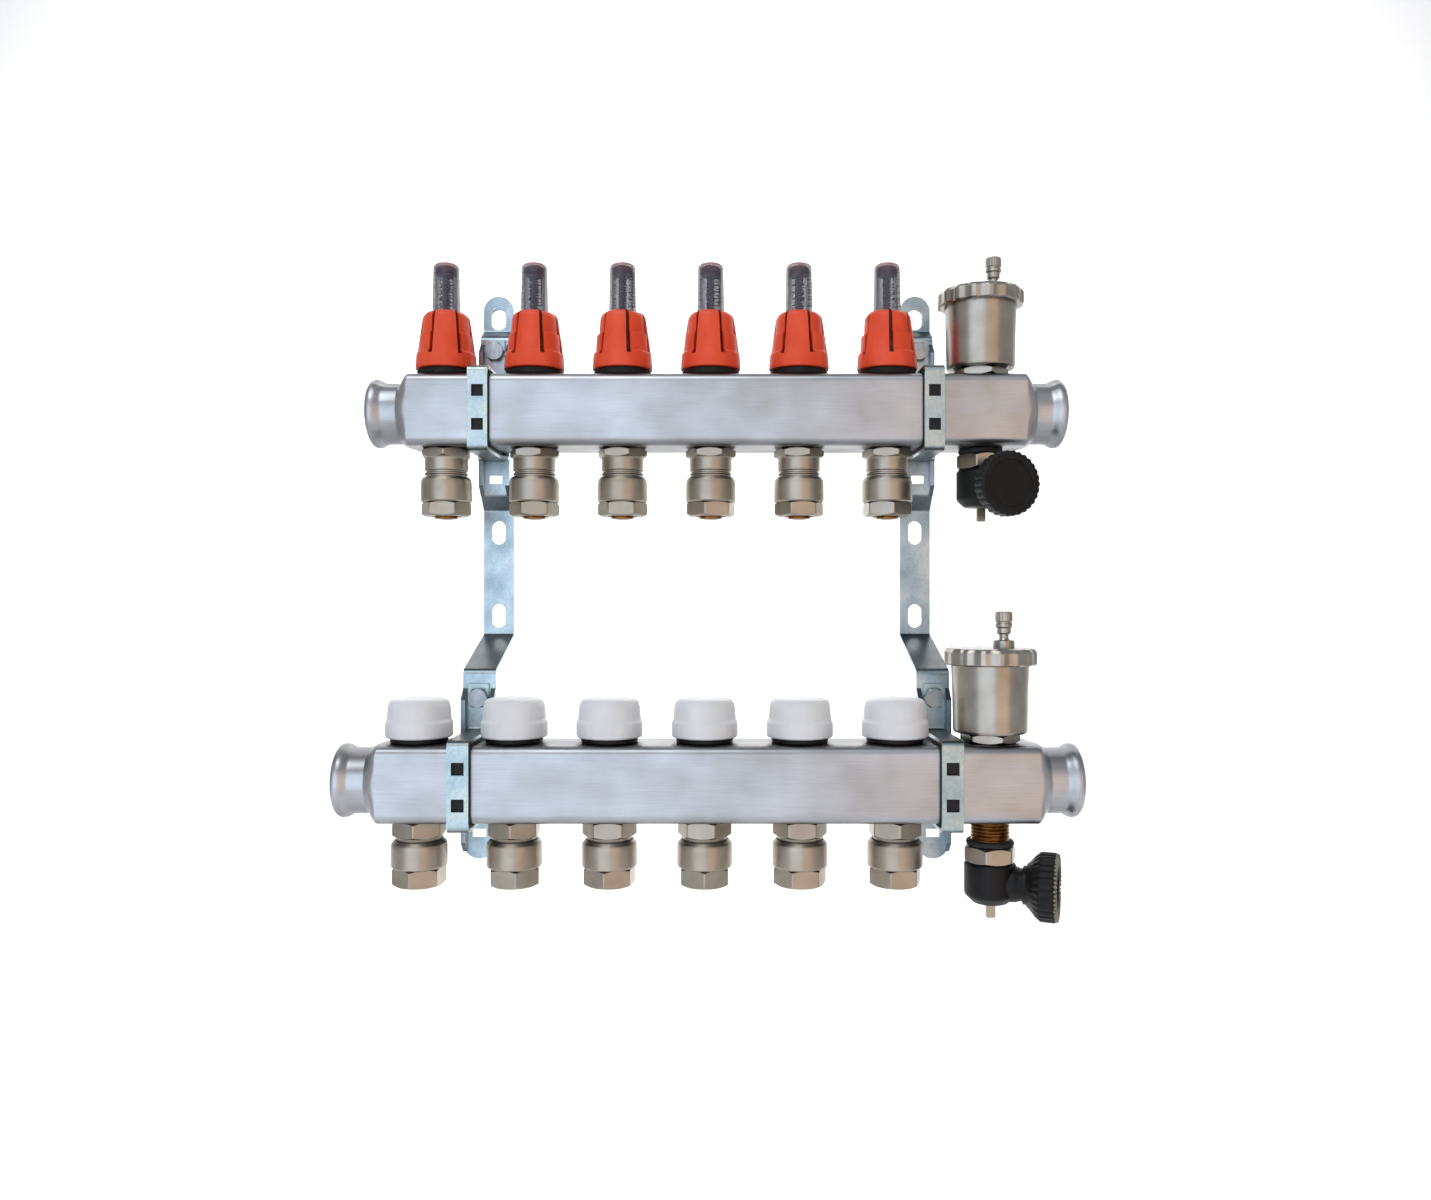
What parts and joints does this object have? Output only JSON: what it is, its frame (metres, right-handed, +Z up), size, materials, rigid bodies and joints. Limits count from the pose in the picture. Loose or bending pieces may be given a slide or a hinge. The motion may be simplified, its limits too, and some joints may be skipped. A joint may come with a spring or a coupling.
{
  "type": "heating manifold",
  "caption": "Underfloor heating manifold: two square stainless bars on strap brackets, with flow meters, hand valves, air vents, drain valves and compression outlets.",
  "frame": {"origin": "on the wall face, midway between the two brackets and between the two bar axes", "axes": "+X along the bars to the right as seen from the room, +Y into the wall, +Z up"},
  "size_m": [0.3925, 0.1124, 0.3606],
  "materials": {
    "stainless": "satin brushed stainless",
    "zinc": "bright zinc plating",
    "zinc_fastener": "zinc-plated steel",
    "nickel": "satin nickel-plated brass",
    "brass": "turned brass",
    "black_plastic": "moulded black polyamide",
    "red_plastic": "moulded orange-red ABS",
    "white_plastic": "moulded white ABS",
    "clear_plastic": "clear polycarbonate",
    "indicator_plastic": "dark red acetal",
    "float_plastic": "polypropylene",
    "rubber": "black EPDM"
  },
  "bodies": {
    "manifold": {"supply_bar": "stainless", "return_bar": "stainless", "left_bracket": "zinc", "right_bracket": "zinc", "bar_clamps": "zinc", "clamp_liners": "rubber", "clamp_bolts": "zinc_fastener", "supply_nipples": "nickel", "return_nipples": "nickel", "supply_nuts": "nickel", "return_nuts": "nickel", "pipe_inserts": "brass", "meter_bodies": "brass", "sight_glasses": "clear_plastic", "valve_bodies": "nickel", "valve_collars": "black_plastic", "vent_bodies": "nickel", "vent_lids": "nickel", "drain_bodies": "nickel", "drain_seals": "rubber"},
    "setting_ring_1": {"setting_ring_1": "black_plastic"},
    "lock_cap_1": {"lock_cap_1": "red_plastic"},
    "flow_indicator_1": {"flow_indicator_1": "indicator_plastic"},
    "setting_ring_2": {"setting_ring_2": "black_plastic"},
    "lock_cap_2": {"lock_cap_2": "red_plastic"},
    "flow_indicator_2": {"flow_indicator_2": "indicator_plastic"},
    "setting_ring_3": {"setting_ring_3": "black_plastic"},
    "lock_cap_3": {"lock_cap_3": "red_plastic"},
    "flow_indicator_3": {"flow_indicator_3": "indicator_plastic"},
    "setting_ring_4": {"setting_ring_4": "black_plastic"},
    "lock_cap_4": {"lock_cap_4": "red_plastic"},
    "flow_indicator_4": {"flow_indicator_4": "indicator_plastic"},
    "setting_ring_5": {"setting_ring_5": "black_plastic"},
    "lock_cap_5": {"lock_cap_5": "red_plastic"},
    "flow_indicator_5": {"flow_indicator_5": "indicator_plastic"},
    "setting_ring_6": {"setting_ring_6": "black_plastic"},
    "lock_cap_6": {"lock_cap_6": "red_plastic"},
    "flow_indicator_6": {"flow_indicator_6": "indicator_plastic"},
    "valve_pin_1": {"valve_pin_1": "brass"},
    "valve_cap_1": {"valve_cap_1": "white_plastic"},
    "valve_pin_2": {"valve_pin_2": "brass"},
    "valve_cap_2": {"valve_cap_2": "white_plastic"},
    "valve_pin_3": {"valve_pin_3": "brass"},
    "valve_cap_3": {"valve_cap_3": "white_plastic"},
    "valve_pin_4": {"valve_pin_4": "brass"},
    "valve_cap_4": {"valve_cap_4": "white_plastic"},
    "valve_pin_5": {"valve_pin_5": "brass"},
    "valve_cap_5": {"valve_cap_5": "white_plastic"},
    "valve_pin_6": {"valve_pin_6": "brass"},
    "valve_cap_6": {"valve_cap_6": "white_plastic"},
    "supply_vent_cap": {"supply_vent_cap": "nickel"},
    "supply_vent_float": {"supply_vent_float": "float_plastic"},
    "supply_drain_swivel": {"supply_drain_swivel": "black_plastic"},
    "supply_drain_cap": {"supply_drain_cap": "black_plastic"},
    "supply_drain_spindle": {"supply_drain_spindle": "nickel"},
    "return_vent_cap": {"return_vent_cap": "nickel"},
    "return_vent_float": {"return_vent_float": "float_plastic"},
    "return_drain_swivel": {"return_drain_swivel": "black_plastic"},
    "return_drain_cap": {"return_drain_cap": "black_plastic"},
    "return_drain_spindle": {"return_drain_spindle": "nickel"}
  },
  "joints": [
    {"name": "setting_ring_1_turn", "type": "hinge", "parent": "manifold", "child": "setting_ring_1", "pos_m": [-0.1475, -0.0385, 0.122], "axis": [0, 0, 1], "range_deg": [0, 900]},
    {"name": "lock_cap_1_lift", "type": "slide", "parent": "manifold", "child": "lock_cap_1", "axis": [0, 0, 1], "range_m": [0, 0.006]},
    {"name": "flow_indicator_1_travel", "type": "slide", "parent": "manifold", "child": "flow_indicator_1", "axis": [0, 0, -1], "range_m": [0, 0.02], "stiffness_N_per_m": 50, "springref_m": -0.002},
    {"name": "setting_ring_2_turn", "type": "hinge", "parent": "manifold", "child": "setting_ring_2", "pos_m": [-0.0975, -0.0385, 0.122], "axis": [0, 0, 1], "range_deg": [0, 900]},
    {"name": "lock_cap_2_lift", "type": "slide", "parent": "manifold", "child": "lock_cap_2", "axis": [0, 0, 1], "range_m": [0, 0.006]},
    {"name": "flow_indicator_2_travel", "type": "slide", "parent": "manifold", "child": "flow_indicator_2", "axis": [0, 0, -1], "range_m": [0, 0.02], "stiffness_N_per_m": 50, "springref_m": -0.002},
    {"name": "setting_ring_3_turn", "type": "hinge", "parent": "manifold", "child": "setting_ring_3", "pos_m": [-0.0475, -0.0385, 0.122], "axis": [0, 0, 1], "range_deg": [0, 900]},
    {"name": "lock_cap_3_lift", "type": "slide", "parent": "manifold", "child": "lock_cap_3", "axis": [0, 0, 1], "range_m": [0, 0.006]},
    {"name": "flow_indicator_3_travel", "type": "slide", "parent": "manifold", "child": "flow_indicator_3", "axis": [0, 0, -1], "range_m": [0, 0.02], "stiffness_N_per_m": 50, "springref_m": -0.002},
    {"name": "setting_ring_4_turn", "type": "hinge", "parent": "manifold", "child": "setting_ring_4", "pos_m": [0.0025, -0.0385, 0.122], "axis": [0, 0, 1], "range_deg": [0, 900]},
    {"name": "lock_cap_4_lift", "type": "slide", "parent": "manifold", "child": "lock_cap_4", "axis": [0, 0, 1], "range_m": [0, 0.006]},
    {"name": "flow_indicator_4_travel", "type": "slide", "parent": "manifold", "child": "flow_indicator_4", "axis": [0, 0, -1], "range_m": [0, 0.02], "stiffness_N_per_m": 50, "springref_m": -0.002},
    {"name": "setting_ring_5_turn", "type": "hinge", "parent": "manifold", "child": "setting_ring_5", "pos_m": [0.0525, -0.0385, 0.122], "axis": [0, 0, 1], "range_deg": [0, 900]},
    {"name": "lock_cap_5_lift", "type": "slide", "parent": "manifold", "child": "lock_cap_5", "axis": [0, 0, 1], "range_m": [0, 0.006]},
    {"name": "flow_indicator_5_travel", "type": "slide", "parent": "manifold", "child": "flow_indicator_5", "axis": [0, 0, -1], "range_m": [0, 0.02], "stiffness_N_per_m": 50, "springref_m": -0.002},
    {"name": "setting_ring_6_turn", "type": "hinge", "parent": "manifold", "child": "setting_ring_6", "pos_m": [0.1025, -0.0385, 0.122], "axis": [0, 0, 1], "range_deg": [0, 900]},
    {"name": "lock_cap_6_lift", "type": "slide", "parent": "manifold", "child": "lock_cap_6", "axis": [0, 0, 1], "range_m": [0, 0.006]},
    {"name": "flow_indicator_6_travel", "type": "slide", "parent": "manifold", "child": "flow_indicator_6", "axis": [0, 0, -1], "range_m": [0, 0.02], "stiffness_N_per_m": 50, "springref_m": -0.002},
    {"name": "valve_pin_1_travel", "type": "slide", "parent": "manifold", "child": "valve_pin_1", "axis": [0, 0, 1], "range_m": [-0.0015, 0.003]},
    {"name": "valve_cap_1_turn", "type": "hinge", "parent": "valve_pin_1", "child": "valve_cap_1", "pos_m": [-0.1505, -0.0835, -0.07], "axis": [0, 0, 1], "range_deg": [-360, 720]},
    {"name": "valve_pin_2_travel", "type": "slide", "parent": "manifold", "child": "valve_pin_2", "axis": [0, 0, 1], "range_m": [-0.0015, 0.003]},
    {"name": "valve_cap_2_turn", "type": "hinge", "parent": "valve_pin_2", "child": "valve_cap_2", "pos_m": [-0.1005, -0.0835, -0.07], "axis": [0, 0, 1], "range_deg": [-360, 720]},
    {"name": "valve_pin_3_travel", "type": "slide", "parent": "manifold", "child": "valve_pin_3", "axis": [0, 0, 1], "range_m": [-0.0015, 0.003]},
    {"name": "valve_cap_3_turn", "type": "hinge", "parent": "valve_pin_3", "child": "valve_cap_3", "pos_m": [-0.0505, -0.0835, -0.07], "axis": [0, 0, 1], "range_deg": [-360, 720]},
    {"name": "valve_pin_4_travel", "type": "slide", "parent": "manifold", "child": "valve_pin_4", "axis": [0, 0, 1], "range_m": [-0.0015, 0.003]},
    {"name": "valve_cap_4_turn", "type": "hinge", "parent": "valve_pin_4", "child": "valve_cap_4", "pos_m": [-0.0005, -0.0835, -0.07], "axis": [0, 0, 1], "range_deg": [-360, 720]},
    {"name": "valve_pin_5_travel", "type": "slide", "parent": "manifold", "child": "valve_pin_5", "axis": [0, 0, 1], "range_m": [-0.0015, 0.003]},
    {"name": "valve_cap_5_turn", "type": "hinge", "parent": "valve_pin_5", "child": "valve_cap_5", "pos_m": [0.0495, -0.0835, -0.07], "axis": [0, 0, 1], "range_deg": [-360, 720]},
    {"name": "valve_pin_6_travel", "type": "slide", "parent": "manifold", "child": "valve_pin_6", "axis": [0, 0, 1], "range_m": [-0.0015, 0.003]},
    {"name": "valve_cap_6_turn", "type": "hinge", "parent": "valve_pin_6", "child": "valve_cap_6", "pos_m": [0.0995, -0.0835, -0.07], "axis": [0, 0, 1], "range_deg": [-360, 720]},
    {"name": "supply_vent_cap_turn", "type": "hinge", "parent": "manifold", "child": "supply_vent_cap", "pos_m": [0.1628, -0.0385, 0.18], "axis": [0, 0, 1], "range_deg": [0, 720]},
    {"name": "supply_vent_float_rise", "type": "slide", "parent": "manifold", "child": "supply_vent_float", "axis": [0, 0, 1], "range_m": [0, 0.006]},
    {"name": "supply_drain_swivel_turn", "type": "hinge", "parent": "manifold", "child": "supply_drain_swivel", "pos_m": [0.1555, -0.0385, 0.0575], "axis": [0, 0, 1], "range_deg": [-57, 153]},
    {"name": "supply_drain_cap_turn", "type": "hinge", "parent": "supply_drain_swivel", "child": "supply_drain_cap", "pos_m": [0.1555, -0.0385, 0.0575], "axis": [0.2588, -0.9659, 0], "range_deg": [0, 720]},
    {"name": "supply_drain_spindle_turn", "type": "hinge", "parent": "manifold", "child": "supply_drain_spindle", "pos_m": [0.1555, -0.0385, 0.0575], "axis": [0, 0, 1], "range_deg": [0, 720]},
    {"name": "return_vent_cap_turn", "type": "hinge", "parent": "manifold", "child": "return_vent_cap", "pos_m": [0.1568, -0.0835, -0.02], "axis": [0, 0, 1], "range_deg": [0, 720]},
    {"name": "return_vent_float_rise", "type": "slide", "parent": "manifold", "child": "return_vent_float", "axis": [0, 0, 1], "range_m": [0, 0.006]},
    {"name": "return_drain_swivel_turn", "type": "hinge", "parent": "manifold", "child": "return_drain_swivel", "pos_m": [0.1495, -0.0835, -0.1535], "axis": [0, 0, 1], "range_deg": [-110, 95]},
    {"name": "return_drain_cap_turn", "type": "hinge", "parent": "return_drain_swivel", "child": "return_drain_cap", "pos_m": [0.1495, -0.0835, -0.1535], "axis": [0.9272, -0.3746, 0], "range_deg": [0, 720]},
    {"name": "return_drain_spindle_turn", "type": "hinge", "parent": "manifold", "child": "return_drain_spindle", "pos_m": [0.1495, -0.0835, -0.1535], "axis": [0, 0, 1], "range_deg": [0, 720]}
  ],
  "couplings": [
    {"joint": "valve_pin_1_travel", "follows": "valve_cap_1_turn", "m_per_rad": 0.0002387},
    {"joint": "valve_pin_2_travel", "follows": "valve_cap_2_turn", "m_per_rad": 0.0002387},
    {"joint": "valve_pin_3_travel", "follows": "valve_cap_3_turn", "m_per_rad": 0.0002387},
    {"joint": "valve_pin_4_travel", "follows": "valve_cap_4_turn", "m_per_rad": 0.0002387},
    {"joint": "valve_pin_5_travel", "follows": "valve_cap_5_turn", "m_per_rad": 0.0002387},
    {"joint": "valve_pin_6_travel", "follows": "valve_cap_6_turn", "m_per_rad": 0.0002387}
  ]
}
